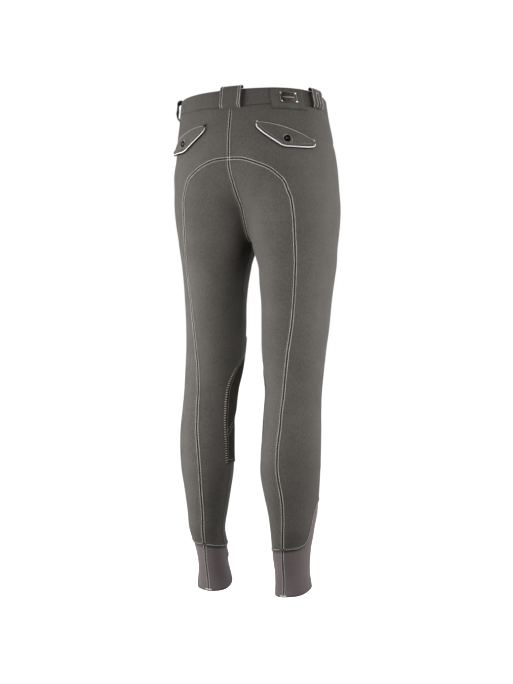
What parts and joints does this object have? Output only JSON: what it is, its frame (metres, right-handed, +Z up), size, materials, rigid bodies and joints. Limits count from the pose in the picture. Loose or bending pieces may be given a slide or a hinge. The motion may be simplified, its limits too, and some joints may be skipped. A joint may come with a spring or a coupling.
{
  "type": "riding breeches",
  "caption": "Men's riding breeches in worn form, with arched seat seams, flapped back pockets, belt loops, knee patches and stretch cuffs.",
  "frame": {"origin": "middle of the waist ring at half the height of the waistband, where the wearer's waist holds the garment", "axes": "+Z up, -Y the wearer's front, +X the wearer's left"},
  "size_m": [0.3497, 0.2341, 1.0237],
  "materials": {
    "breeches_cloth": "dark grey stretch cotton twill with a soft sheen",
    "cuff_knit": "mauve-grey stretch knit",
    "patch_suede": "dark brown-grey brushed cloth",
    "piping_satin": "pale satin cord",
    "button_plastic": "black, softly polished",
    "badge_metal": "oxidised plate with worn bright edges"
  },
  "bodies": {
    "root": {"outer_panel_left": "breeches_cloth", "outer_panel_right": "breeches_cloth", "seat_panel_left": "breeches_cloth", "seat_panel_right": "breeches_cloth", "cuff_left": "cuff_knit", "cuff_right": "cuff_knit", "knee_patch_left": "patch_suede", "knee_patch_right": "patch_suede", "waistband_left": "breeches_cloth", "waistband_right": "breeches_cloth", "belt_loop_back": "breeches_cloth", "belt_loop_rear_left": "breeches_cloth", "belt_loop_rear_right": "breeches_cloth", "belt_loop_side_left": "breeches_cloth", "belt_loop_side_right": "breeches_cloth", "belt_loop_front_left": "breeches_cloth", "belt_loop_front_right": "breeches_cloth", "pocket_flap_left": "breeches_cloth", "pocket_flap_right": "breeches_cloth", "flap_piping_left": "piping_satin", "flap_piping_right": "piping_satin", "flap_button_left": "button_plastic", "flap_button_right": "button_plastic", "waist_button": "button_plastic", "waistband_patch": "patch_suede", "badge_plate": "badge_metal", "fly_shield": "breeches_cloth"}
  },
  "joints": []
}
